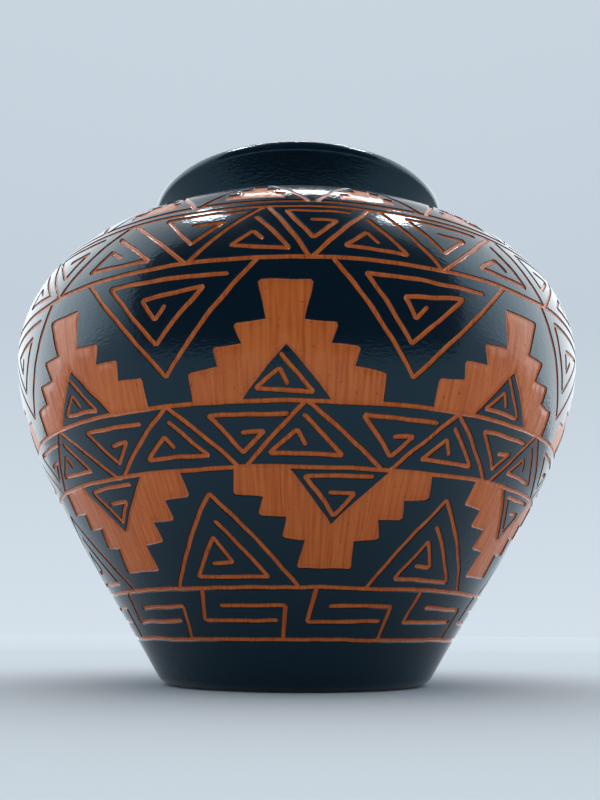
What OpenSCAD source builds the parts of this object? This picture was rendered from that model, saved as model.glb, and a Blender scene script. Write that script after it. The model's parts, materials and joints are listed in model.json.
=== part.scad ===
// A round-bellied, slip-coated clay pot with incised bands.
// The vessel is a surface of revolution about Z and stands on z = 0.
// Clay sections, joined by the potter, carry a skin of black slip. The incised
// ring lines cut that skin into separate bands and bare the clay between them.

/* [Vessel] */
// Largest radius, at the belly
belly_r = 80; // [76:1:84]
// Height of the belly above the ground
belly_z = 86.7; // [84:0.1:90]
// Radius of the foot, before its edge is rounded
foot_r = 35.5; // [34:0.1:42]
// Rounding of the foot's edge
foot_round = 5.2; // [3:0.1:7]
// Radius where the shoulder runs into the collar
root_r = 40; // [38:0.5:42]
// Height where the shoulder runs into the collar
root_z = 123; // [121:0.5:125]
// Radius of the collar's outer face below the lip
collar_r = 44.6; // [43:0.1:46]
// Height of the collar's outer face below the lip
collar_z = 137; // [136:0.5:139]

/* [Curves] */
// Angle of the lower wall as it leaves the foot
wall_lean = 59; // [56:1:63]
// Pull of the lower wall's straight start
wall_pull = 30; // [27:0.1:33]
// Pull of the belly on the lower wall
belly_pull_down = 26.3; // [24:0.1:30]
// Pull of the belly on the shoulder
belly_pull_up = 24.2; // [20:0.1:26]
// Pull of the shoulder's flat top, on both sides of the collar's root
root_pull = 12.4; // [10:0.1:14]
// Pull of the collar's hollow
hollow_pull = 6; // [4:0.5:7]

/* [Clay] */
// Thickness of the vessel wall, slip and clay together
wall_t = 6; // [5:0.5:8]
// Thickness at the lip
lip_t = 4; // [3.5:0.1:5]
// Thickness of the floor
floor_t = 7; // [5:0.5:9]
// Height where the lower wall is joined to the belly wall
belly_join_z = 48; // [40:1:55]
// Height where the shoulder is joined to its top
top_join_z = 111; // [107:1:114]

/* [Slip] */
// Thickness of the slip skin, which is also the depth of the incised lines
coat_t = 0.6; // [0.3:0.1:1]
// Width of an incised ring line
line_w = 1.3; // [0.8:0.1:2]
// Angle below the horizontal, round the foot's edge, where the slip starts
slip_edge = 78; // [65:1:85]
// Heights of the ring lines, from the meander band up to the collar's root
meander_z = 11.6; // [10:0.1:13]
// Height of the ring above the meander band
lower_field_z = 22.6; // [21:0.1:24]
// Height of the ring above the lower field
middle_band_z = 46.4; // [45:0.1:48]
// Height of the ring above the middle band
upper_field_z = 59; // [57:0.1:61]
// Height of the ring above the upper field
zigzag_z = 88; // [87:0.1:90]
// Height of the first of the two rings above the zigzag band
fillet_z = 102.4; // [101:0.1:103]
// Height of the second of the two rings
crown_z = 104.4; // [104:0.1:105.4]
// Height of the ring around the collar's root
halo_z = 118; // [115:0.1:121]

/* [Hidden] */
$fn = 180;

clay_colour = [0.72, 0.33, 0.17];
slip_colour = [0.05, 0.05, 0.06];

step = 1 / 24; // Step along a curve, which has a length of 1 per stretch
lip_join = 2.8; // Where the lip is joined to the collar, along the profile

// The outer profile is three cubic curves end to end: 0 to 1 is the lower wall,
// 1 to 2 the shoulder and 2 to 3 the collar.
CURVES = [
    [[foot_r, 0],
     [foot_r + wall_pull * cos(wall_lean), wall_pull * sin(wall_lean)],
     [belly_r, belly_z - belly_pull_down],
     [belly_r, belly_z]],
    [[belly_r, belly_z],
     [belly_r, belly_z + belly_pull_up],
     [root_r + root_pull, root_z],
     [root_r, root_z]],
    [[root_r, root_z],
     [root_r - hollow_pull, root_z],
     [collar_r - hollow_pull, collar_z - hollow_pull],
     [collar_r, collar_z]]
];

function cubic(p, t) =
    pow(1 - t, 3) * p[0] + 3 * pow(1 - t, 2) * t * p[1]
    + 3 * (1 - t) * t * t * p[2] + pow(t, 3) * p[3];

function slope(p, t) =
    pow(1 - t, 2) * (p[1] - p[0]) + 2 * (1 - t) * t * (p[2] - p[1])
    + t * t * (p[3] - p[2]);

function stretch_of(u) = min(floor(u), 2);

function outward(u) =
    let (i = stretch_of(u), d = slope(CURVES[i], u - i))
    [d[1], -d[0]] / norm(d);

// The wall thins from the root of the collar to the lip.
function thickness(u) = u < 2 ? wall_t : wall_t + (lip_t - wall_t) * (u - 2);

// Point of the profile at u, sunk by depth below the outer face.
function sunk(u, depth) =
    let (i = stretch_of(u))
    cubic(CURVES[i], u - i) - depth * outward(u);

// Place along the profile where the outer face is at height z.
function place_at(z, low = 0, high = 3) =
    high - low < 0.00001 ? (low + high) / 2
    : let (mid = (low + high) / 2)
      sunk(mid, 0)[1] < z ? place_at(z, mid, high) : place_at(z, low, mid);

// Places from a to b, with both ends and the whole steps between them.
function places(a, b) = concat(
    [a],
    [for (k = [ceil(a / step + 0.2):floor(b / step - 0.2)]) k * step],
    [b]);

function reversed(list) = [for (k = [len(list) - 1:-1:0]) list[k]];

// A layer of the wall between places a and b, from depth near to depth far.
module layer(a, b, near, far) {
    run = places(a, b);
    rotate_extrude()
        polygon(concat(
            [for (u = run) sunk(u, near)],
            [for (u = reversed(run)) sunk(u, far)]));
}

// Clay of the wall, slipped on its outer face only.
module clay_wall(a, b) {
    color(clay_colour) layer(a, b, coat_t, wall_t);
}

// Millimetres of profile per unit of u, near u.
function stretch_length(u) = norm(sunk(u + 0.002, 0) - sunk(u, 0)) / 0.002;

// Place half a ring line above (side 1) or below (side -1) the ring at height z.
function beside_ring(z, side) =
    let (ring = place_at(z))
    ring + side * line_w / 2 / stretch_length(ring);

// A layer of slip between places a and b.
module slip_layer(a, b) {
    color(slip_colour) layer(a, b, 0, coat_t);
}

// A band of slip between the ring lines at two heights.
module slip_band(low_z, high_z) {
    slip_layer(beside_ring(low_z, 1), beside_ring(high_z, -1));
}

floor_join = place_at(floor_t);
foot_reach = foot_round * tan(wall_lean / 2); // From the foot's corner to its rounding
toe = place_at(foot_reach * sin(wall_lean)); // Where the rounding meets the wall
wall_face = wall_lean - 90; // Direction that the wall faces as it leaves the foot

// The foot's rounded edge, as points on an arc.
function foot_arc(radius, from, to) =
    [for (k = [0:8]) let (a = from + (to - from) * k / 8)
        [foot_r - foot_reach, foot_round] + radius * [cos(a), sin(a)]];

// Round end of the lip, as points on an arc about the middle of the wall.
function lip_arc(radius, from, to) =
    let (centre = sunk(3, lip_t / 2), face = outward(3), lean = atan2(face[1], face[0]))
    [for (k = [0:12]) let (a = lean + from + (to - from) * k / 12)
        centre + radius * [cos(a), sin(a)]];

module clay_floor() {
    corner = sunk(floor_join, wall_t);
    color(clay_colour)
        rotate_extrude()
            polygon(concat(
                [[0, 0]],
                foot_arc(foot_round, -90, -slip_edge),
                foot_arc(foot_round - coat_t, -slip_edge, wall_face),
                [for (u = places(toe, floor_join)) sunk(u, coat_t)],
                [corner,
                 [corner[0] - 3, corner[1] - 1.6],
                 [corner[0] - 8, floor_t],
                 [0, floor_t]]));
}

module clay_lower_wall() {
    clay_wall(floor_join, place_at(belly_join_z));
}

module clay_belly_wall() {
    clay_wall(place_at(belly_join_z), 1);
}

module clay_shoulder() {
    clay_wall(1, place_at(top_join_z));
}

module clay_shoulder_top() {
    clay_wall(place_at(top_join_z), 2);
}

module clay_collar() {
    run = places(2, lip_join);
    color(clay_colour)
        rotate_extrude()
            polygon(concat(
                [for (u = run) sunk(u, coat_t)],
                [for (u = reversed(run)) sunk(u, thickness(u) - coat_t)]));
}

module clay_lip() {
    run = places(lip_join, 3);
    color(clay_colour)
        rotate_extrude()
            polygon(concat(
                [for (u = run) sunk(u, coat_t)],
                lip_arc(lip_t / 2 - coat_t, 10, 170),
                [for (u = reversed(run)) sunk(u, thickness(u) - coat_t)]));
}

module foot_coat() {
    run = places(toe, beside_ring(meander_z, -1));
    color(slip_colour)
        rotate_extrude()
            polygon(concat(
                foot_arc(foot_round, -slip_edge, wall_face),
                [for (u = run) sunk(u, 0)],
                [for (u = reversed(run)) sunk(u, coat_t)],
                foot_arc(foot_round - coat_t, wall_face, -slip_edge)));
}

module meander_coat() {
    slip_band(meander_z, lower_field_z);
}

module lower_field_coat() {
    slip_band(lower_field_z, middle_band_z);
}

module middle_band_coat() {
    slip_band(middle_band_z, upper_field_z);
}

module upper_field_coat() {
    slip_band(upper_field_z, zigzag_z);
}

module zigzag_band_coat() {
    slip_band(zigzag_z, fillet_z);
}

module ring_fillet_coat() {
    slip_band(fillet_z, crown_z);
}

module crown_band_coat() {
    slip_band(crown_z, halo_z);
}

module shoulder_top_coat() {
    slip_layer(beside_ring(halo_z, 1), 2);
}

module collar_coat() {
    slip_layer(2, lip_join);
}

module lip_coat() {
    run = places(lip_join, 3);
    color(slip_colour)
        rotate_extrude()
            polygon(concat(
                [for (u = run) sunk(u, 0)],
                lip_arc(lip_t / 2, 10, 170),
                [for (u = reversed(run)) sunk(u, thickness(u))],
                [for (u = run) sunk(u, thickness(u) - coat_t)],
                lip_arc(lip_t / 2 - coat_t, 170, 10),
                [for (u = reversed(run)) sunk(u, coat_t)]));
}

module mouth_coat() {
    run = places(2, lip_join);
    color(slip_colour)
        rotate_extrude()
            polygon(concat(
                [for (u = run) sunk(u, thickness(u) - coat_t)],
                [for (u = reversed(run)) sunk(u, thickness(u))]));
}

clay_floor();
clay_lower_wall();
clay_belly_wall();
clay_shoulder();
clay_shoulder_top();
clay_collar();
clay_lip();
foot_coat();
meander_coat();
lower_field_coat();
middle_band_coat();
upper_field_coat();
zigzag_band_coat();
ring_fillet_coat();
crown_band_coat();
shoulder_top_coat();
collar_coat();
lip_coat();
mouth_coat();
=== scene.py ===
# A clay pot, slipped black and incised through to the clay: the looks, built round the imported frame.
# The motifs are drawn in millimetres on the pot's unrolled surface and then laid round the pot.
import json
import math
import random

import bmesh
import bpy
import numpy as np
from mathutils import Matrix, Vector, noise

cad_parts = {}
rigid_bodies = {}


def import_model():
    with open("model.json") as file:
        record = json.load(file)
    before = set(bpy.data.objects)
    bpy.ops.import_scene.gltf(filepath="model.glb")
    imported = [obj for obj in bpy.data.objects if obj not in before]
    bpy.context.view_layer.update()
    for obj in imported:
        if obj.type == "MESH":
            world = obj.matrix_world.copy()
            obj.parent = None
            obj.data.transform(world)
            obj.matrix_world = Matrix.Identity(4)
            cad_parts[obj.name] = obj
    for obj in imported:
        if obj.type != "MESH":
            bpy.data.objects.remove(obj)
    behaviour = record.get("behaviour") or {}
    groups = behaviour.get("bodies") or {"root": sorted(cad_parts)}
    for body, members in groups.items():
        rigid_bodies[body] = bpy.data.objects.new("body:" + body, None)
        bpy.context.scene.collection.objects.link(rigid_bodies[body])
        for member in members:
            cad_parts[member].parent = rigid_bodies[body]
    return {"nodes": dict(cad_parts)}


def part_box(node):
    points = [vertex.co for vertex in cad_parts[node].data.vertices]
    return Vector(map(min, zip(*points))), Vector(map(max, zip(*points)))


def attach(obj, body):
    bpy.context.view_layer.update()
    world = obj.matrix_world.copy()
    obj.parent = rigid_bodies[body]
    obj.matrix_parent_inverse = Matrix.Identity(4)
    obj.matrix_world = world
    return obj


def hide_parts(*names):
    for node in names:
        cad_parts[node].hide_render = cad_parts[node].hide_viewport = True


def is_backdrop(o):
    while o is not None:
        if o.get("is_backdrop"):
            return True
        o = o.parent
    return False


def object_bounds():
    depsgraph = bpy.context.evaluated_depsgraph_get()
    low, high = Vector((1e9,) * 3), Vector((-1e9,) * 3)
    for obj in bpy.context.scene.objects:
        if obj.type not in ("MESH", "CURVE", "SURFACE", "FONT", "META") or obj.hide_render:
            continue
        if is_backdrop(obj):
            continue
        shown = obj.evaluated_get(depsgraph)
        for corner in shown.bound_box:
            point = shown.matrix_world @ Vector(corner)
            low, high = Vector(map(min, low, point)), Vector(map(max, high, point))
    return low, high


for left in list(bpy.data.objects):    # the startup file's cube, lamp and camera
    bpy.data.objects.remove(left)
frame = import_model()
cadLow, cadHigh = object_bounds()
mm = 0.001

potShape = {
    "footRadius": 35.5, "footRound": 5.2, "slipEdge": 78,        # the foot and where the slip stops on it
    "wallLean": 59, "wallPull": 30.0,                            # the wall's straight start
    "bellyPullDown": 26.3, "bellyPullUp": 24.2,                  # how full the belly is
    "rootRadius": 40.0, "rootHeight": 123.0, "rootPull": 12.4,   # where the collar begins
    "collarRadius": 44.6, "collarHeight": 137.0, "hollowPull": 6.0,
    "wallThickness": 6.0, "lipThickness": 4.0, "lipJoin": 2.8,
    "slipThickness": 0.2,                                        # the black skin over the clay
    "columns": 360, "rowLength": 1.8,                            # facets round the pot and up it
    "sharpAngle": 38,                                            # edges keener than this stay crisp
}
curvePoints = 800                                                # along each of the profile's three curves
wallPoints = 2 * curvePoints                                     # from the foot to the collar's root


def cubic(points, t):
    a, b, c, d = (np.array(p) for p in points)
    t = np.asarray(t)[:, None]
    return (1 - t) ** 3 * a + 3 * (1 - t) ** 2 * t * b + 3 * (1 - t) * t ** 2 * c + t ** 3 * d


# The outer face from the foot to the lip, as arrays along its length in millimetres.
def unrollProfile(shape):
    lean = math.radians(shape["wallLean"])
    foot, root = shape["footRadius"], (shape["rootRadius"], shape["rootHeight"])
    belly = (min(cadHigh.x, cadHigh.y) / mm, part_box("clay_belly_wall")[1].z / mm)
    collar = (shape["collarRadius"], shape["collarHeight"])
    hollow = shape["hollowPull"]
    curves = [
        [(foot, 0), (foot + shape["wallPull"] * math.cos(lean), shape["wallPull"] * math.sin(lean)),
         (belly[0], belly[1] - shape["bellyPullDown"]), belly],
        [belly, (belly[0], belly[1] + shape["bellyPullUp"]), (root[0] + shape["rootPull"], root[1]), root],
        [root, (root[0] - hollow, root[1]), (collar[0] - hollow, collar[1] - hollow), collar],
    ]
    t = np.linspace(0, 1, curvePoints + 1)
    points = np.vstack([cubic(c, t)[:-1] for c in curves[:2]] + [cubic(curves[2], t)])
    steps = np.hypot(*np.diff(points, axis=0).T)
    slope = np.gradient(points, axis=0)
    slope /= np.hypot(*slope.T)[:, None]
    place = np.concatenate([t[:-1], t[:-1] + 1, t + 2])
    return {
        "place": place, "along": np.concatenate([[0], np.cumsum(steps)]),
        "radius": points[:, 0], "height": points[:, 1], "faceOut": slope[:, 1], "faceUp": -slope[:, 0],
    }


profile = unrollProfile(potShape)


# The profile's value at a length along it.
def onProfile(key, along):
    return np.interp(along, profile["along"], profile[key])


# The length along at a place: 0 foot, 1 belly, 2 collar's root, 3 lip.
def alongAtPlace(place):
    return float(np.interp(place, profile["place"], profile["along"]))


def alongAtHeight(height):
    return float(np.interp(height, profile["height"][:wallPoints], profile["along"][:wallPoints]))


# Lays points of the unrolled surface round the pot: across at the radius reach, along, and lift off it.
def layOnPot(flat, reach):
    across, along, lift = flat[:, 0], flat[:, 1], flat[:, 2]
    radius = onProfile("radius", along) + lift * onProfile("faceOut", along)
    height = onProfile("height", along) + lift * onProfile("faceUp", along)
    return np.stack([radius * np.sin(across / reach), -radius * np.cos(across / reach), height], 1) * mm


# Half way between two of the frame's pieces: where a ring line runs, or a joint.
def alongBetween(lower, upper):
    return alongAtHeight((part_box(lower)[1].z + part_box(upper)[0].z) / 2 / mm)


bandNames = ["foot_coat", "meander_coat", "lower_field_coat", "middle_band_coat", "upper_field_coat",
             "zigzag_band_coat", "ring_fillet_coat", "crown_band_coat", "shoulder_top_coat"]
rings = [alongBetween(lower, upper) for lower, upper in zip(bandNames, bandNames[1:])]
footEdge = potShape["footRound"] * math.tan(math.radians(potShape["wallLean"] / 2))
edges = [footEdge] + rings + [alongAtPlace(2)]
bands = {}
for name, low, high in zip(bandNames, edges, edges[1:]):
    bands[name] = {"low": low, "high": high, "reach": float(onProfile("radius", (low + high) / 2))}
print("bands, in mm along the wall:", {name: round(b["high"] - b["low"], 1) for name, b in bands.items()})

hand = {
    "seed": 7, "cornerSlip": 0.22,              # how far a corner strays from its place
    "waver": 0.13, "waverLength": 5.0,          # sideways waver of a stroke
    "press": 0.12, "pressLength": 4.0,          # change of its width
    "overrun": 0.2, "station": 1.3,             # past each corner, and between points of a stroke
    "tip": 0.6,                                 # length of a stroke's round end, for a full width
    "outline": 0.8,                             # width of the strokes round a scraped shape
}
# Section of the cutting tool at its full width: side and lift, with a soft shoulder at the surface.
toolSection = [(0.80, 1.0), (0.62, 0.03), (0.52, -0.1), (0.46, -0.26), (0.28, -0.38), (0.0, -0.42),
               (-0.28, -0.38), (-0.46, -0.26), (-0.52, -0.1), (-0.62, 0.03), (-0.80, 1.0)]
rng = random.Random(hand["seed"])
strokes = {name: ([], []) for name in bandNames}    # two sets, so that no stroke overlaps its own set
scrapes = {name: [] for name in bandNames}


# One run of straight strokes from corner to corner. Points are degrees from turn and millimetres up.
def incise(name, turn, points, width=1.0):
    band = bands[name]
    corners = [
        (math.radians(turn + a) * band["reach"] + rng.uniform(-1, 1) * hand["cornerSlip"],
         band["low"] + up + rng.uniform(-1, 1) * hand["cornerSlip"])
        for a, up in points
    ]
    for k, (start, end) in enumerate(zip(corners, corners[1:])):
        strokes[name][k % 2].append((start, end, width))
    return corners


# The front places as the hand left them, then the rest evenly round the back.
def around(count, *placed):
    step = (placed[0] + 360 - placed[-1]) / (count - len(placed) + 1)
    return list(placed) + [placed[-1] + step * k for k in range(1, count - len(placed) + 1)]


# The middles of the gaps that follow the places.
def middles(places):
    return [(a + b) / 2 for a, b in zip(places, places[1:] + [places[0] + 360])]


def widened(points, factor):
    return [(a * factor, up) for a, up in points]


def bandHeight(name):
    return bands[name]["high"] - bands[name]["low"]


# Both sides of a stepped motif from its right one.
def mirrorSteps(steps):
    return [(-a, up) for a, up in steps], [(a, up) for a, up in reversed(steps)]


meander = {"turns": around(12, 5.7)}


def drawMeander():
    name = "meander_coat"
    top = bandHeight(name)
    for turn in meander["turns"]:
        incise(name, turn, [(0, top), (-2, top * 0.36), (19.5, top * 0.38)])
        incise(name, turn, [(4, top * 0.66), (22, top * 0.67), (20.8, 0)])


lowerField = {"turns": around(7, -41.8, 8.0, 58.3)}


# Stepped motifs that hang, with a spiral in a triangle between them.
def drawLowerField():
    name = "lower_field_coat"
    top = bandHeight(name)
    steps = [(18.9, top), (19.8, 22.4), (13.9, 21.9), (15.0, 17.5), (9.1, 17.1), (10.4, 12.2)]
    for turn in lowerField["turns"]:
        left, right = mirrorSteps(steps)
        block = [(-5.4, 11.8), (-6.9, 5.0), (5.3, 5.0), (4.5, 11.8)]
        outline = incise(name, turn, left + block + right, hand["outline"])
        inner = incise(name, turn, [(11.2, top), (-0.3, 14.7), (-9.9, top)])
        scrapes[name].append(outline + inner)
        incise(name, turn, [(7, top - 1.9), (-6, top - 2.1), (-0.1, 17.4), (3.9, 22.6), (-1.2, 22.5)])
    for turn in middles(lowerField["turns"]):
        incise(name, turn, [(-14.8, 0), (-0.4, 22.8), (18.2, 0)])
        incise(name, turn, [(-0.3, 16.4), (10.6, 2.4), (-7.6, 2.8), (-1.4, 12.4), (2.2, 6.2), (-2.8, 6.3)])


middleBand = {
    "peaks": around(14, -51.3, -22.4, 1.9, 29.8, 53.6), "feet": around(14, -36.8, -9.7, 17.1, 41.7),
    "drawnFor": 25.7,    # degrees between the feet that its spirals are drawn for
}


def drawMiddleBand():
    name = "middle_band_coat"
    top = bandHeight(name)
    peaks, feet = middleBand["peaks"], middleBand["feet"]
    for peak, foot, before in zip(peaks, feet, [feet[-1] - 360] + feet):
        wide = (foot - before) / middleBand["drawnFor"]
        incise(name, peak, [(before - peak + 0.7, 0), (0, top), (foot - peak - 0.7, 0)])
        incise(name, peak, widened([(-0.3, 11.2), (6.4, 2.8), (-6.0, 3.1), (-1.5, 8.0), (0.1, 4.9)], wide))
        incise(name, foot, [(8.6, 11.3), (-5.3, 11.7), (0.5, 3.3), (4.4, 7.8), (0.3, 7.4)])


upperField = {"turns": around(9, -42.0, -1.4, 40.2)}


# Stepped motifs that stand, with a hanging spiral between them.
def drawUpperField():
    name = "upper_field_coat"
    top = bandHeight(name)
    steps = [(15.8, 0), (15.8, 6.4), (10.7, 6.9), (11.2, 11.2), (6.4, 11.5), (7.6, 15.9), (2.6, 16.3),
             (3.9, 24.6)]
    for turn in upperField["turns"]:
        left, right = mirrorSteps(steps)
        outline = incise(name, turn, left + right, hand["outline"])
        inner = incise(name, turn, [(8.0, 0), (0, 12.3), (-8.0, 0)])
        scrapes[name].append(outline + inner)
        incise(name, turn, [(-1.0, 9.9), (4.3, 1.9), (-5.0, 2.2), (-1.1, 6.6), (0.2, 3.5)])
    for turn in middles(upperField["turns"]):
        incise(name, turn, [(-13.8, top), (0.1, 6.2), (16.3, top)])
        incise(name, turn, [(11.6, 26.9), (-8.8, 27.3), (-0.9, 13.2), (7.8, 24.5), (-2.6, 23.0),
                            (-0.6, 18.5), (1.2, 21.3)])


zigzagBand = {
    "feet": around(16, -43.8, -17.0, 2.2, 23.3, 47.6), "peaks": around(16, -29.0, -5.0, 12.9, 37.0),
    "drawnFor": 20,
}


def drawZigzagBand():
    name = "zigzag_band_coat"
    top = bandHeight(name)
    feet, peaks = zigzagBand["feet"], zigzagBand["peaks"]
    befores, afters = [peaks[-1] - 360] + peaks, feet[1:] + [feet[0] + 360]
    for foot, peak, before, after in zip(feet, peaks, befores, afters):
        wide = (peak - before) / zigzagBand["drawnFor"]
        incise(name, foot, [(before - foot + 0.4, top), (0, 0), (peak - foot - 0.4, top)])
        incise(name, foot, widened([(7.4, 13.1), (-4.2, 13.2), (0.5, 4.7), (4.8, 10.1), (0.2, 10.0)], wide))
        wide = (after - foot) / zigzagBand["drawnFor"]
        incise(name, peak, widened([(-1.5, 11.2), (4.2, 2.3), (-5.0, 3.1), (-1.8, 7.0), (0.0, 4.4)], wide))


crownBand = {"turns": around(18, 12.8)}


def drawCrownBand():
    name = "crown_band_coat"
    top = bandHeight(name)
    steps = [(4.8, 1.9), (4.8, 5.2), (3.0, 5.4), (3.1, 9.0), (1.3, 9.1), (1.4, 12.8)]
    half = 180 / len(crownBand["turns"])
    for turn in crownBand["turns"]:
        left, right = mirrorSteps(steps)
        scrapes[name].append(incise(name, turn, left + right, hand["outline"]))
        incise(name, turn, [(-half + 0.6, 0), (0, top - 3), (half - 0.6, 0)])


for draw in (drawMeander, drawLowerField, drawMiddleBand, drawUpperField, drawZigzagBand, drawCrownBand):
    draw()
print("strokes:", {name: len(a) + len(b) for name, (a, b) in strokes.items()})


def newMeshObject(name, mesh):
    piece = bpy.data.objects.new(name, mesh)
    bpy.context.scene.collection.objects.link(piece)
    return piece


def meshCoords(mesh):
    coords = np.empty(len(mesh.vertices) * 3)
    mesh.vertices.foreach_get("co", coords)
    return coords.reshape(-1, 3)


def moveMesh(mesh, coords):
    mesh.vertices.foreach_set("co", coords.ravel())
    mesh.update()


def meshFromBm(name, bm):
    mesh = bpy.data.meshes.new(name)
    bm.to_mesh(mesh)
    bm.free()
    return mesh


# Spins a closed section, given as points in metres, into a ring or a shell.
def spinLoop(points, columns):
    bm = bmesh.new()
    section = [bm.verts.new(p) for p in points]
    loop = [bm.edges.new((a, b)) for a, b in zip(section, section[1:] + section[:1])]
    bmesh.ops.spin(bm, geom=section + loop, cent=(0, 0, 0), axis=(0, 0, 1), angle=2 * math.pi,
                   steps=columns, use_merge=True)
    return bm


def softShade(piece):
    mesh = piece.data
    mesh.polygons.foreach_set("use_smooth", np.ones(len(mesh.polygons), bool))
    mesh.set_sharp_from_angle(angle=math.radians(potShape["sharpAngle"]))


def toolCurve():
    curve = bpy.data.curves.new("toolSection", "CURVE")
    curve.dimensions = "2D"
    spline = curve.splines.new("POLY")
    spline.points.add(len(toolSection) - 1)
    for point, (side, lift) in zip(spline.points, toolSection):
        point.co = (side, lift, 0, 1)
    spline.use_cyclic_u = True
    tool = bpy.data.objects.new("toolSection", curve)
    bpy.context.scene.collection.objects.link(tool)
    return tool


# Stations along a stroke, with their sideways waver and the width there, round at both ends.
def strokeStations(start, end, width, key):
    start, end = Vector(start), Vector(end)
    direction = (end - start).normalized()
    side = Vector((-direction.y, direction.x))
    start, end = start - direction * hand["overrun"], end + direction * hand["overrun"]
    length = (end - start).length
    tip = hand["tip"] * width
    tips = [0.0, tip * 0.12, tip * 0.45, tip]
    inner = max(1, round((length - 2 * tip) / hand["station"]))
    places = tips + [tip + (length - 2 * tip) * k / inner for k in range(1, inner)]
    places += [length - d for d in reversed(tips)]
    stations = []
    for d in places:
        toEnd = min(d, length - d)
        roundness = 1 if toEnd >= tip else math.sqrt(max(0.03, 1 - (1 - toEnd / tip) ** 2))
        waver = hand["waver"] * noise.noise(Vector((d / hand["waverLength"], key, 0)))
        press = 1 + hand["press"] * noise.noise(Vector((d / hand["pressLength"], key, 9)))
        stations.append((start + direction * d + side * waver * 2, width * press * roundness))
    return stations


# All the strokes of one set in one band, swept flat with the tool and then laid on the pot.
def strokeCutter(name, legs, tool, reach):
    curve = bpy.data.curves.new(name, "CURVE")
    curve.dimensions = "3D"
    curve.twist_mode = "Z_UP"
    curve.bevel_mode = "OBJECT"
    curve.bevel_object = tool
    curve.use_fill_caps = True
    for key, (start, end, width) in enumerate(legs):
        stations = strokeStations(start, end, width, key * 3.7 + reach)
        spline = curve.splines.new("POLY")
        spline.points.add(len(stations) - 1)
        for point, (place, press) in zip(spline.points, stations):
            point.co = (place.x, place.y, 0, 1)
            point.radius = press
    swept = bpy.data.objects.new(name, curve)
    bpy.context.scene.collection.objects.link(swept)
    bpy.context.view_layer.update()
    mesh = bpy.data.meshes.new_from_object(swept.evaluated_get(bpy.context.evaluated_depsgraph_get()))
    bpy.data.objects.remove(swept)
    moveMesh(mesh, layOnPot(meshCoords(mesh), reach))
    return mesh


scraper = {
    "cellAcross": 0.75, "cellUp": 2.2, "shift": 0.013,    # cells of the floor, shifted off every corner
    "depth": 0.3, "lift": 0.9,                            # into the clay, and clear of the slip
    "marks": 0.1, "markWide": 0.9, "markLong": 9,         # what the tool leaves on the floor
}


# A scraped recess, cut flat into small cells so that its floor can follow the pot and the tool's marks.
def scrapeCutter(corners, reach, key):
    bm = bmesh.new()
    bm.faces.new([bm.verts.new((x, y, 0)) for x, y in corners])
    for axis, cell in ((0, scraper["cellAcross"]), (1, scraper["cellUp"])):
        low, high = min(c[axis] for c in corners), max(c[axis] for c in corners)
        for k in range(math.ceil(low / cell), math.floor(high / cell) + 1):
            plane, normal = Vector((0, 0, 0)), Vector((0, 0, 0))
            plane[axis], normal[axis] = k * cell + scraper["shift"], 1
            bmesh.ops.bisect_plane(bm, geom=bm.verts[:] + bm.edges[:] + bm.faces[:], dist=1e-5,
                                   plane_co=plane, plane_no=normal)
    top = bmesh.ops.extrude_face_region(bm, geom=bm.faces[:])
    raised = {v for v in top["geom"] if isinstance(v, bmesh.types.BMVert)}
    for v in bm.verts:
        mark = noise.noise(Vector((v.co.x / scraper["markWide"], v.co.y / scraper["markLong"], key)))
        v.co.z = scraper["lift"] if v in raised else scraper["marks"] * mark - scraper["depth"]
    bmesh.ops.recalc_face_normals(bm, faces=bm.faces[:])
    mesh = meshFromBm("scrape", bm)
    moveMesh(mesh, layOnPot(meshCoords(mesh), reach))
    return mesh


ringHand = {"sway": 0.3, "sways": 4, "shake": 0.12, "shakes": 14, "columns": 300}


# A ring line right round the pot, with the same tool and a slow waver up and down.
def ringCutter(along, key):
    bm = spinLoop(layOnPot(np.array([(0.0, along + side, lift) for side, lift in toolSection]), 1.0),
                  ringHand["columns"])
    tangentOut, tangentUp = -float(onProfile("faceUp", along)), float(onProfile("faceOut", along))
    for v in bm.verts:
        angle = math.atan2(v.co.x, -v.co.y)
        across, back = math.sin(angle), math.cos(angle)
        waver = 0
        for size, waves in ((ringHand["sway"], ringHand["sways"]), (ringHand["shake"], ringHand["shakes"])):
            waver += size * noise.noise(Vector((across * waves, back * waves, key)))
        v.co += Vector((across * tangentOut, -back * tangentOut, tangentUp)) * waver * mm
    bmesh.ops.recalc_face_normals(bm, faces=bm.faces[:])
    return meshFromBm("ring", bm)


# One hidden cutter from many meshes; it has to print no open edge.
def gather(name, meshes):
    bm = bmesh.new()
    for mesh in meshes:
        bm.from_mesh(mesh)
        bpy.data.meshes.remove(mesh)
    bmesh.ops.remove_doubles(bm, verts=bm.verts[:], dist=1e-7)
    bmesh.ops.recalc_face_normals(bm, faces=bm.faces[:])
    loose = sum(1 for e in bm.edges if not e.is_manifold)
    cutter = newMeshObject(name, meshFromBm(name, bm))
    cutter.hide_render = True
    print("cutter", name, len(cutter.data.polygons), "faces,", loose, "open edges")
    return cutter


# The last number given to each cutter picks the place in the noise that it wavers by.
tool = toolCurve()
cutters = [
    gather("ringLines", [ringCutter(along, k * 5.0) for k, along in enumerate(rings)]),
    gather("scrapedShapes", [
        scrapeCutter(corners, bands[name]["reach"], k * 2.3)
        for name in bandNames for k, corners in enumerate(scrapes[name])
    ]),
]
for k in (0, 1):
    cutters.append(gather("strokes" + "AB"[k], [
        strokeCutter(name + str(k), strokes[name][k], tool, bands[name]["reach"])
        for name in bandNames if strokes[name][k]
    ]))
bpy.data.objects.remove(tool)


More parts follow.
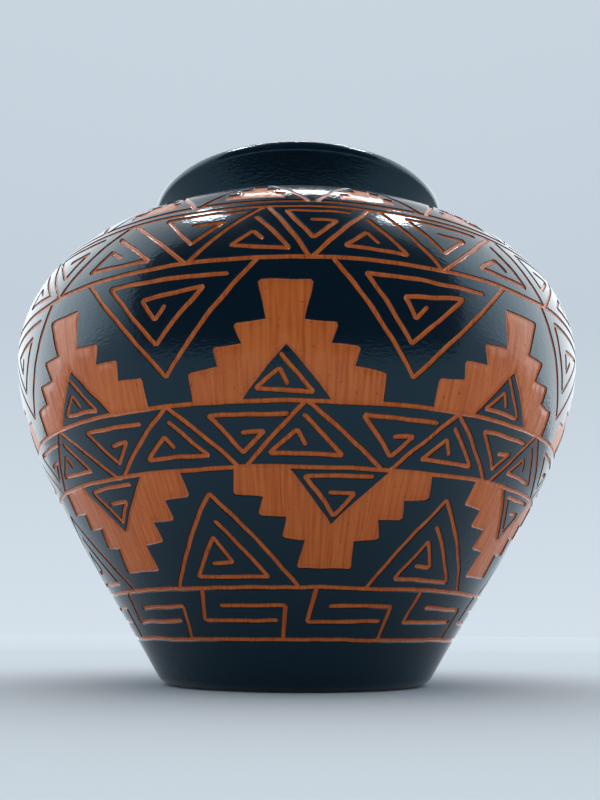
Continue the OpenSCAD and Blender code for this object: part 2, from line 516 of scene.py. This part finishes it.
# A closed shell of the wall between two lengths along it and two depths, spun round the axis.
def spinShell(name, low, high, near, far, innerRow=4.0):
    rows = max(1, round((high - low) / potShape["rowLength"]))
    innerRows = max(1, round((high - low) / innerRow))
    outer = [(0.0, low + (high - low) * k / rows, -near) for k in range(rows + 1)]
    inner = [(0.0, high + (low - high) * k / innerRows, -far) for k in range(innerRows + 1)]
    bm = spinLoop(layOnPot(np.array(outer + inner), 1.0), potShape["columns"])
    bmesh.ops.recalc_face_normals(bm, faces=bm.faces[:])
    return newMeshObject(name, meshFromBm(name, bm))


# Cuts a piece with every cutter and keeps the result as its mesh.
def carve(piece):
    for cutter in cutters:
        cut = piece.modifiers.new(cutter.name, "BOOLEAN")
        cut.operation, cut.solver, cut.object = "DIFFERENCE", "MANIFOLD", cutter
    bpy.context.view_layer.update()
    mesh = bpy.data.meshes.new_from_object(piece.evaluated_get(bpy.context.evaluated_depsgraph_get()))
    plain = piece.data
    piece.modifiers.clear()
    piece.data = mesh
    bpy.data.meshes.remove(plain)
    softShade(piece)
    print("carved", piece.name, len(mesh.polygons), "faces")


slipPieces = []
for name in bandNames[1:-1]:
    band = bands[name]
    slip = spinShell(name.replace("_coat", "_slip"), band["low"], band["high"],
                     0, potShape["slipThickness"])
    carve(slip)
    slipPieces.append(slip)
    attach(slip, "root")
    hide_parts(name)

polished = {"depth": 0.04, "facing": 0.995}    # a corner this near the true curve takes its normal


# Gives the polished outer face the true curve's normals, so that gloss runs smoothly over the facets.
def polish(piece):
    mesh = piece.data
    coords = meshCoords(mesh)
    radius = np.hypot(coords[:, 0], coords[:, 1])
    along = np.interp(coords[:, 2] / mm, profile["height"][:wallPoints], profile["along"][:wallPoints])
    depth = (radius / mm - onProfile("radius", along)) * onProfile("faceOut", along)
    out, up = onProfile("faceOut", along), onProfile("faceUp", along)
    facing = np.stack([coords[:, 0] / radius * out, coords[:, 1] / radius * out, up], 1)
    facing /= np.linalg.norm(facing, axis=1)[:, None]
    corner = np.empty(len(mesh.loops) * 3)
    mesh.corner_normals.foreach_get("vector", corner)
    corner = corner.reshape(-1, 3)
    vertex = np.empty(len(mesh.loops), int)
    mesh.loops.foreach_get("vertex_index", vertex)
    flat = np.empty(len(mesh.polygons) * 3)
    mesh.polygons.foreach_get("normal", flat)
    sizes = np.empty(len(mesh.polygons), int)
    mesh.polygons.foreach_get("loop_total", sizes)
    flat = np.repeat(flat.reshape(-1, 3), sizes, axis=0)
    near = np.abs(depth[vertex]) < polished["depth"]
    onFace = near & ((flat * facing[vertex]).sum(1) > polished["facing"])
    corner[onFace] = facing[vertex][onFace]
    mesh.normals_split_custom_set(corner.tolist())


# Spins a closed section, given as points of radius and height in millimetres.
def spinSection(name, points, columns=potShape["columns"]):
    bm = spinLoop([(0, -r * mm, h * mm) for r, h in points], columns)
    bmesh.ops.recalc_face_normals(bm, faces=bm.faces[:])
    piece = newMeshObject(name, meshFromBm(name, bm))
    softShade(piece)
    return piece


# Radius and height of the point that lies depth under the outer face.
def sunk(along, depth):
    return (float(onProfile("radius", along) - depth * onProfile("faceOut", along)),
            float(onProfile("height", along) - depth * onProfile("faceUp", along)))


# Lengths from low to high, in even steps.
def run(low, high, step=0.4):
    count = max(1, round((high - low) / step))
    return [low + (high - low) * k / count for k in range(count + 1)]


# The wall thins from the collar into the lip.
def wallAt(along):
    lip = max(0.0, float(np.interp(along, profile["along"], profile["place"])) - 2)
    return potShape["wallThickness"] + (potShape["lipThickness"] - potShape["wallThickness"]) * lip


def arc(centre, radius, start, end, steps):
    angles = [math.radians(start + (end - start) * k / steps) for k in range(steps + 1)]
    return [(centre[0] + radius * math.cos(a), centre[1] + radius * math.sin(a)) for a in angles]


def footArc(radius, start, end):
    return arc((potShape["footRadius"] - footEdge, potShape["footRound"]), radius, start, end, 12)


def lipArc(radius, start, end):
    last = profile["along"][-1]
    lean = math.degrees(math.atan2(onProfile("faceUp", last), onProfile("faceOut", last)))
    return arc(sunk(last, potShape["lipThickness"] / 2), radius, lean + start, lean + end, 24)


coat, footStep = 0.6, 1.2                             # slip where nothing is carved, and rows on the foot
rootAlong, lipAlong, endAlong = alongAtPlace(2), alongAtPlace(potShape["lipJoin"]), alongAtPlace(3)
floorAlong = alongAtHeight(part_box("clay_lower_wall")[0].z / mm)


# The foot's slip: thin over the wall piece that is carved, full over the floor piece, which isn't.
def makeFootSlip():
    wallFace = potShape["wallLean"] - 90
    points = footArc(potShape["footRound"], -potShape["slipEdge"], wallFace)
    points += [sunk(a, 0) for a in run(footEdge, rings[0], footStep)[1:]]
    points += [sunk(a, potShape["slipThickness"]) for a in reversed(run(floorAlong, rings[0], footStep))]
    points += [sunk(a, coat) for a in reversed(run(footEdge, floorAlong, footStep)[1:])]
    points += footArc(potShape["footRound"] - coat, wallFace, -potShape["slipEdge"])
    piece = spinSection("foot_slip", points)
    carve(piece)
    return piece


def makeCollarSlip():
    outer = run(rootAlong, lipAlong)
    return spinSection("collar_slip", [sunk(a, 0) for a in outer]
                       + [sunk(a, coat) for a in reversed(outer)])


def makeMouthSlip():
    inner = run(rootAlong, lipAlong)
    return spinSection("mouth_slip", [sunk(a, wallAt(a) - coat) for a in inner]
                       + [sunk(a, wallAt(a)) for a in reversed(inner)])


# Small nicks side by side along the top of the lip.
lipNicks = {"count": 150, "depth": 0.13, "reach": 1.2, "columns": 750}


def makeLipSlip():
    half = potShape["lipThickness"] / 2
    outer = run(lipAlong, endAlong)[:-1]
    points = [sunk(a, 0) for a in outer] + lipArc(half, 0, 180)
    points += [sunk(a, wallAt(a)) for a in reversed(outer)]
    points += [sunk(a, wallAt(a) - coat) for a in outer] + lipArc(half - coat, 180, 0)
    points += [sunk(a, coat) for a in reversed(outer)]
    piece = spinSection("lip_slip", points, lipNicks["columns"])
    coords = meshCoords(piece.data)
    turn, top = np.arctan2(coords[:, 1], coords[:, 0]), coords[:, 2].max()
    reach = np.clip(1 - (top - coords[:, 2]) / (lipNicks["reach"] * mm), 0, 1)
    coords[:, 2] -= reach * (0.5 - 0.5 * np.cos(turn * lipNicks["count"])) * lipNicks["depth"] * mm
    moveMesh(piece.data, coords)
    return piece


def makeShoulderTopSlip():
    piece = spinShell("shoulder_top_slip", rings[-1], rootAlong, 0, potShape["slipThickness"])
    carve(piece)
    return piece


for make, node in (
    (makeFootSlip, "foot_coat"), (makeShoulderTopSlip, "shoulder_top_coat"),
    (makeCollarSlip, "collar_coat"), (makeMouthSlip, "mouth_coat"), (makeLipSlip, "lip_coat"),
):
    piece = make()
    slipPieces.append(piece)
    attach(piece, "root")
    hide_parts(node)
for piece in slipPieces:
    if piece.name not in ("collar_slip", "mouth_slip", "lip_slip", "shoulder_top_slip"):
        polish(piece)
print("slip pieces:", len(slipPieces))

bellyJoin = alongBetween("clay_lower_wall", "clay_belly_wall")
topJoin = alongBetween("clay_shoulder", "clay_shoulder_top")
clayPieces = []
for node, low, high in (
    ("clay_lower_wall", floorAlong, bellyJoin), ("clay_belly_wall", bellyJoin, alongAtPlace(1)),
    ("clay_shoulder", alongAtPlace(1), topJoin), ("clay_shoulder_top", topJoin, rootAlong),
):
    piece = spinShell(node + "_carved", low, high,
                      potShape["slipThickness"], potShape["wallThickness"], innerRow=2.0)
    carve(piece)
    clayPieces.append(piece)
    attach(piece, "root")
    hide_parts(node)

for cutter in cutters:
    bpy.data.objects.remove(cutter)


def newMaterial(name):
    material = bpy.data.materials.new(name)
    material.use_nodes = True
    nodes = material.node_tree.nodes
    nodes.clear()
    return material, nodes, material.node_tree.links


# A new node with its settings, or the defaults of its inputs, by name.
def addNode(nodes, kind, **values):
    node = nodes.new(kind)
    for key, value in values.items():
        if hasattr(node, key):
            setattr(node, key, value)
        else:
            node.inputs[key.replace("_", " ")].default_value = value
    return node


slipFinish = {
    # The slip's own colour is near black; the teal tint in it is painted light, standing in for bluish
    # light from the room in front.
    "colour": (0.001, 0.009, 0.018, 1), "tint": (0.45, 0.8, 1.0, 1),
    "roughness": 0.075, "patches": 0.03, "specular": 0.42,         # patches: how the gloss comes and goes
    "haze": 0.22, "hazeRoughness": 0.34, "hazeIor": 1.4,           # a soft bloom round every reflection
    "hand": {"Dent Size": 45, "Dents": 0.07, "Rub Size": 700, "Rubs": 0.5, "Rub Length": 2.6},
}
clayFinish = {
    "colour": (0.50, 0.096, 0.008, 1), "pale": (0.58, 0.135, 0.020, 1), "scored": (0.42, 0.074, 0.007, 1),
    "dark": (0.10, 0.018, 0.004, 1),                               # of the few dark specks
    "toneStops": (0.33, 0.43, 0.62), "speckStops": (0.69, 0.75),
    "roughness": 0.5, "specular": 0.2, "gloss": 0.5, "glossRoughness": 0.14, "glossIor": 1.45,
    "streakRound": 0.07, "streakSlant": 0.1, "streakUp": 0.06,     # small values draw the streaks out
    "streakSize": 1300.0, "blotchSize": 70.0, "blotches": 0.15, "speckSize": 1400.0,
    "hand": {"Dent Size": 300, "Dents": 0.3, "Rub Size": 2500, "Rubs": 0.4},
}
handDefaults = {"Dent Size": 60.0, "Dents": 0.2, "Rub Size": 400.0, "Rubs": 0.1, "Rub Length": 1.0}


# Unevenness left by the hand: broad dents and fine rubbing marks, as one normal.
def handFinishGroup():
    group = bpy.data.node_groups.new("handFinish", "ShaderNodeTree")
    for name, default in handDefaults.items():
        socket = group.interface.new_socket(name, in_out="INPUT", socket_type="NodeSocketFloat")
        socket.default_value = default
    group.interface.new_socket("Normal", in_out="OUTPUT", socket_type="NodeSocketVector")
    group.interface.new_socket("Mask", in_out="OUTPUT", socket_type="NodeSocketFloat")
    nodes, links = group.nodes, group.links
    inputs, outputs = nodes.new("NodeGroupInput"), nodes.new("NodeGroupOutput")
    place = nodes.new("ShaderNodeTexCoord")
    dents = addNode(nodes, "ShaderNodeTexNoise", Detail=2.0)
    rubs = addNode(nodes, "ShaderNodeTexNoise", Detail=3.0)
    broad = addNode(nodes, "ShaderNodeBump", Distance=0.001)
    fine = addNode(nodes, "ShaderNodeBump", Distance=0.0001)
    links.new(place.outputs["Object"], dents.inputs["Vector"])
    length = nodes.new("ShaderNodeCombineXYZ")
    length.inputs["X"].default_value = length.inputs["Y"].default_value = 1.0
    drawn = addNode(nodes, "ShaderNodeVectorMath", operation="MULTIPLY")
    links.new(inputs.outputs["Rub Length"], length.inputs["Z"])
    links.new(place.outputs["Object"], drawn.inputs[0])
    links.new(length.outputs["Vector"], drawn.inputs[1])
    links.new(drawn.outputs["Vector"], rubs.inputs["Vector"])
    links.new(inputs.outputs["Dent Size"], dents.inputs["Scale"])
    links.new(inputs.outputs["Rub Size"], rubs.inputs["Scale"])
    links.new(inputs.outputs["Dents"], broad.inputs["Strength"])
    links.new(inputs.outputs["Rubs"], fine.inputs["Strength"])
    links.new(dents.outputs["Fac"], broad.inputs["Height"])
    links.new(rubs.outputs["Fac"], fine.inputs["Height"])
    links.new(broad.outputs["Normal"], fine.inputs["Normal"])
    links.new(fine.outputs["Normal"], outputs.inputs["Normal"])
    links.new(dents.outputs["Fac"], outputs.inputs["Mask"])
    return group


handFinish = handFinishGroup()


def addHandFinish(nodes, values):
    finish = addNode(nodes, "ShaderNodeGroup", node_tree=handFinish)
    for name, value in values.items():
        finish.inputs[name].default_value = value
    return finish


def slipMaterial():
    material, nodes, links = newMaterial("glossy_black_slip")
    shader = addNode(nodes, "ShaderNodeBsdfPrincipled")
    # Near-black base colour with a painted teal tint that stands in for bluish room light.
    shader.inputs["Base Color"].default_value = slipFinish["colour"]
    shader.inputs["Coat Weight"].default_value = slipFinish["haze"]
    shader.inputs["Coat Roughness"].default_value = slipFinish["hazeRoughness"]
    shader.inputs["Coat IOR"].default_value = slipFinish["hazeIor"]
    shader.inputs["Specular IOR Level"].default_value = slipFinish["specular"]
    shader.inputs["Specular Tint"].default_value = slipFinish["tint"]
    finish = addHandFinish(nodes, slipFinish["hand"])
    tone = addNode(nodes, "ShaderNodeMapRange")
    tone.inputs["To Min"].default_value = slipFinish["roughness"] - slipFinish["patches"]
    tone.inputs["To Max"].default_value = slipFinish["roughness"] + slipFinish["patches"]
    output = nodes.new("ShaderNodeOutputMaterial")
    links.new(finish.outputs["Mask"], tone.inputs["Value"])
    links.new(tone.outputs["Result"], shader.inputs["Roughness"])
    links.new(finish.outputs["Normal"], shader.inputs["Normal"])
    links.new(shader.outputs["BSDF"], output.inputs["Surface"])
    return material


def clayMaterial():
    material, nodes, links = newMaterial("bared_clay")
    shader = addNode(nodes, "ShaderNodeBsdfPrincipled")
    shader.inputs["Roughness"].default_value = clayFinish["roughness"]
    shader.inputs["Coat Weight"].default_value = clayFinish["gloss"]
    shader.inputs["Coat Roughness"].default_value = clayFinish["glossRoughness"]
    shader.inputs["Coat IOR"].default_value = clayFinish["glossIor"]
    shader.inputs["Specular IOR Level"].default_value = clayFinish["specular"]
    place = nodes.new("ShaderNodeTexCoord")
    # The streaks run up the wall: the direction round the axis changes fast and the height slowly.
    level = addNode(nodes, "ShaderNodeVectorMath", operation="MULTIPLY")
    level.inputs[1].default_value = (1, 1, 0)
    outward = addNode(nodes, "ShaderNodeVectorMath", operation="NORMALIZE")
    spread = addNode(nodes, "ShaderNodeVectorMath", operation="MULTIPLY")
    spread.inputs[1].default_value = (clayFinish["streakRound"], clayFinish["streakRound"], 0)
    drawn = addNode(nodes, "ShaderNodeVectorMath", operation="MULTIPLY")
    drawn.inputs[1].default_value = (clayFinish["streakSlant"], 0, clayFinish["streakUp"])
    stretch = addNode(nodes, "ShaderNodeVectorMath", operation="ADD")
    streaks = addNode(nodes, "ShaderNodeTexNoise", Scale=clayFinish["streakSize"], Detail=2.0)
    blotches = addNode(nodes, "ShaderNodeTexNoise", Scale=clayFinish["blotchSize"], Detail=4.0)
    specks = addNode(nodes, "ShaderNodeTexNoise", Scale=clayFinish["speckSize"], Detail=2.0)
    ramp, speckRamp = nodes.new("ShaderNodeValToRGB"), nodes.new("ShaderNodeValToRGB")
    scoredStop, colourStop, paleStop = clayFinish["toneStops"]
    first, last = ramp.color_ramp.elements
    first.position, first.color = scoredStop, clayFinish["scored"]
    last.position, last.color = paleStop, clayFinish["pale"]
    ramp.color_ramp.elements.new(colourStop).color = clayFinish["colour"]
    for element, stop in zip(speckRamp.color_ramp.elements, clayFinish["speckStops"]):
        element.position = stop
    both = addNode(nodes, "ShaderNodeMix", data_type="FLOAT")
    both.inputs[0].default_value = clayFinish["blotches"]
    mix = addNode(nodes, "ShaderNodeMix", data_type="RGBA")
    mix.inputs[7].default_value = clayFinish["dark"]
    finish = addHandFinish(nodes, clayFinish["hand"])
    output = nodes.new("ShaderNodeOutputMaterial")
    links.new(place.outputs["Object"], level.inputs[0])
    links.new(level.outputs["Vector"], outward.inputs[0])
    links.new(outward.outputs["Vector"], spread.inputs[0])
    links.new(place.outputs["Object"], drawn.inputs[0])
    links.new(spread.outputs["Vector"], stretch.inputs[0])
    links.new(drawn.outputs["Vector"], stretch.inputs[1])
    links.new(stretch.outputs["Vector"], streaks.inputs["Vector"])
    links.new(place.outputs["Object"], blotches.inputs["Vector"])
    links.new(place.outputs["Object"], specks.inputs["Vector"])
    links.new(streaks.outputs["Fac"], both.inputs[2])
    links.new(blotches.outputs["Fac"], both.inputs[3])
    links.new(both.outputs[0], ramp.inputs["Fac"])
    links.new(specks.outputs["Fac"], speckRamp.inputs["Fac"])
    links.new(speckRamp.outputs["Color"], mix.inputs[0])
    links.new(ramp.outputs["Color"], mix.inputs[6])
    links.new(mix.outputs[2], shader.inputs["Base Color"])
    links.new(finish.outputs["Normal"], shader.inputs["Normal"])
    links.new(shader.outputs["BSDF"], output.inputs["Surface"])
    return material


slipMat, clayMat = slipMaterial(), clayMaterial()
for piece in slipPieces:
    piece.data.materials.clear()
    piece.data.materials.append(slipMat)
for piece in clayPieces:
    piece.data.materials.clear()
    piece.data.materials.append(clayMat)
for node in ("clay_floor", "clay_collar", "clay_lip"):
    for slot in frame["nodes"][node].material_slots:
        slot.material = clayMat
print("finishes on", len(slipPieces), "slip and", len(clayPieces), "carved clay pieces")

# The stage: a pale floor without an edge in sight, pale air round it and a dark room in front.
stage = {
    "floorColour": (0.80, 0.85, 0.89, 1), "floorRadius": 6.0,
    "horizon": (0.665, 0.745, 0.823, 1), "middleAir": (0.545, 0.625, 0.700, 1),
    "highAir": (0.590, 0.665, 0.745, 1), "airStops": (0.36, 0.72),   # heights of the last two
    "tent": (0.92, 0.99, 1.05, 1),                # what the gloss mirrors behind and beside the pot
    "room": (0.010, 0.022, 0.036, 1),             # and in front of it and overhead
    "tentFrom": (-0.6, 0.0), "tentUnder": (0.85, 0.6),    # where the tent starts, sideways and upwards
    "panel": (1.8, 1.86, 1.9, 1), "panelAim": (0.85, 0.20, 0.49),    # soft bright places at both sides
    "panelSpread": (0.55, 1.0),
    "ambient": (0.45, 0.52, 0.57, 1),             # what reaches the matt faces from all round
    "skyPower": 0.95, "skyAngle": 75,             # soft light from above
    "lampColour": (0.97, 0.99, 1.0), "lampPower": 2.2,    # lamps whose glints break up on the shoulder
    "lamps": {
        "leftOverhead": (0.45, (-0.21, -0.05, 0.62), 0.12, 0.06),
        "rightOverhead": (0.45, (0.23, -0.05, 0.62), 0.12, 0.06),
        "rearOverhead": (0.3, (0.02, 0.24, 0.68), 0.26, 0.02),
    },
    "flagPlace": -0.262, "flagSize": (0.8, 0.5),    # black card behind the camera keeps the front dark
}


def mattMaterial(name, colour, **values):
    material, nodes, links = newMaterial(name)
    shader = addNode(nodes, "ShaderNodeBsdfPrincipled", **values)
    shader.inputs["Base Color"].default_value = colour
    output = nodes.new("ShaderNodeOutputMaterial")
    links.new(shader.outputs["BSDF"], output.inputs["Surface"])
    return material


def makeFloor():
    bm = bmesh.new()
    bmesh.ops.create_circle(bm, cap_ends=True, radius=stage["floorRadius"], segments=128)
    floor = newMeshObject("floor", meshFromBm("floor", bm))
    paper = mattMaterial("floor_paper", stage["floorColour"], Roughness=1.0, Specular_IOR_Level=0.0)
    floor.data.materials.append(paper)
    floor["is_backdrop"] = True


def addLamp(name, kind, power, place, aim, colour):
    light = bpy.data.lights.new(name, kind)
    light.energy, light.color = power, colour
    lamp = bpy.data.objects.new(name, light)
    lamp.location = place
    lamp.rotation_euler = (Vector(aim) - Vector(place)).to_track_quat("-Z", "Y").to_euler()
    bpy.context.scene.collection.objects.link(lamp)
    return lamp


def makeLights():
    sky = addLamp("softSky", "SUN", stage["skyPower"], (0, 0.1, 1), (0, 0, 0), (1.0, 0.97, 0.95))
    sky.data.angle = math.radians(stage["skyAngle"])
    sky.visible_glossy = False
    for name, (power, place, across, along) in stage["lamps"].items():
        lamp = addLamp(name, "AREA", power * stage["lampPower"], place, (0, 0, 0.1), stage["lampColour"])
        lamp.data.shape, lamp.data.size, lamp.data.size_y = "RECTANGLE", across, along
        lamp.visible_diffuse = False


def makeFlag():
    bm = bmesh.new()
    bmesh.ops.create_grid(bm, x_segments=1, y_segments=1, size=0.5)
    bmesh.ops.scale(bm, verts=bm.verts[:], vec=(stage["flagSize"][0], stage["flagSize"][1], 1))
    bmesh.ops.rotate(bm, verts=bm.verts[:], matrix=Matrix.Rotation(math.radians(90), 3, "X"))
    bmesh.ops.translate(bm, verts=bm.verts[:], vec=(0, stage["flagPlace"], stage["flagSize"][1] / 2))
    flag = newMeshObject("blackFlag", meshFromBm("blackFlag", bm))
    flag.data.materials.append(mattMaterial("black_card", stage["room"], Roughness=0.9))
    flag.visible_camera = flag.visible_shadow = flag.visible_diffuse = False
    flag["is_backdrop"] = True


# Air that is pale to look at. The gloss mirrors a bright tent in it, and matt faces get an even light.
def makeAir():
    world = bpy.data.worlds.new("studioAir")
    world.use_nodes = True
    nodes, links = world.node_tree.nodes, world.node_tree.links
    nodes.clear()
    place, parts = nodes.new("ShaderNodeTexCoord"), nodes.new("ShaderNodeSeparateXYZ")
    behind = addNode(nodes, "ShaderNodeMapRange", interpolation_type="SMOOTHSTEP")
    low = addNode(nodes, "ShaderNodeMapRange", interpolation_type="SMOOTHSTEP")
    glow = addNode(nodes, "ShaderNodeMapRange", interpolation_type="SMOOTHSTEP")
    for node, key in ((behind, "tentFrom"), (low, "tentUnder"), (glow, "panelSpread")):
        node.inputs["From Min"].default_value, node.inputs["From Max"].default_value = stage[key]
    both = addNode(nodes, "ShaderNodeMath", operation="MULTIPLY")
    mirror = addNode(nodes, "ShaderNodeMix", data_type="RGBA")
    mirror.inputs[6].default_value, mirror.inputs[7].default_value = stage["room"], stage["tent"]
    aside = addNode(nodes, "ShaderNodeMath", operation="ABSOLUTE")
    turned = nodes.new("ShaderNodeCombineXYZ")
    facing = addNode(nodes, "ShaderNodeVectorMath", operation="DOT_PRODUCT")
    facing.inputs[1].default_value = stage["panelAim"]
    lit = addNode(nodes, "ShaderNodeMix", data_type="RGBA", blend_type="ADD")
    lit.inputs[7].default_value = stage["panel"]
    ramp = nodes.new("ShaderNodeValToRGB")
    middleStop, highStop = stage["airStops"]
    ramp.color_ramp.elements[0].color = stage["horizon"]
    ramp.color_ramp.elements[1].position, ramp.color_ramp.elements[1].color = highStop, stage["highAir"]
    ramp.color_ramp.elements.new(middleStop).color = stage["middleAir"]
    path = nodes.new("ShaderNodeLightPath")
    seen = addNode(nodes, "ShaderNodeMix", data_type="RGBA")
    matt = addNode(nodes, "ShaderNodeMix", data_type="RGBA")
    matt.inputs[7].default_value = stage["ambient"]
    background, output = nodes.new("ShaderNodeBackground"), nodes.new("ShaderNodeOutputWorld")
    links.new(place.outputs["Generated"], parts.inputs[0])
    links.new(parts.outputs["Y"], behind.inputs["Value"])
    links.new(parts.outputs["Z"], low.inputs["Value"])
    links.new(behind.outputs["Result"], both.inputs[0])
    links.new(low.outputs["Result"], both.inputs[1])
    links.new(both.outputs[0], mirror.inputs[0])
    links.new(parts.outputs["Z"], ramp.inputs["Fac"])
    links.new(path.outputs["Is Camera Ray"], seen.inputs[0])
    links.new(parts.outputs["X"], aside.inputs[0])
    links.new(aside.outputs[0], turned.inputs["X"])
    links.new(parts.outputs["Y"], turned.inputs["Y"])
    links.new(parts.outputs["Z"], turned.inputs["Z"])
    links.new(turned.outputs[0], facing.inputs[0])
    links.new(facing.outputs["Value"], glow.inputs["Value"])
    links.new(glow.outputs["Result"], lit.inputs[0])
    links.new(mirror.outputs[2], lit.inputs[6])
    links.new(path.outputs["Is Diffuse Ray"], matt.inputs[0])
    links.new(lit.outputs[2], matt.inputs[6])
    links.new(matt.outputs[2], seen.inputs[6])
    links.new(ramp.outputs["Color"], seen.inputs[7])
    links.new(seen.outputs[2], background.inputs["Color"])
    links.new(background.outputs["Background"], output.inputs["Surface"])
    bpy.context.scene.world = world


makeFloor()
makeFlag()
makeLights()
makeAir()
bpy.context.scene.view_settings.view_transform = "Standard"

view = {
    "x": 1.3, "distance": 227.4, "height": 13.2, "pitch": 16.52, "roll": -0.33,    # millimetres and degrees
    "focal": 787, "imageHeight": 800, "sensor": 36,
}


def makeCamera():
    lens = bpy.data.cameras.new("camera")
    lens.sensor_width = view["sensor"]
    lens.lens = view["focal"] * lens.sensor_width / view["imageHeight"]
    lens.clip_start, lens.clip_end = 0.01, 20
    camera = bpy.data.objects.new("camera", lens)
    camera.location = (view["x"] * mm, -view["distance"] * mm, view["height"] * mm)
    camera.rotation_euler = (math.radians(90 + view["pitch"]), math.radians(view["roll"]), 0)
    bpy.context.scene.collection.objects.link(camera)
    bpy.context.scene.camera = camera


makeCamera()
low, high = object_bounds()
print("size", [round(v * 1000, 2) for v in (*low, *high)])
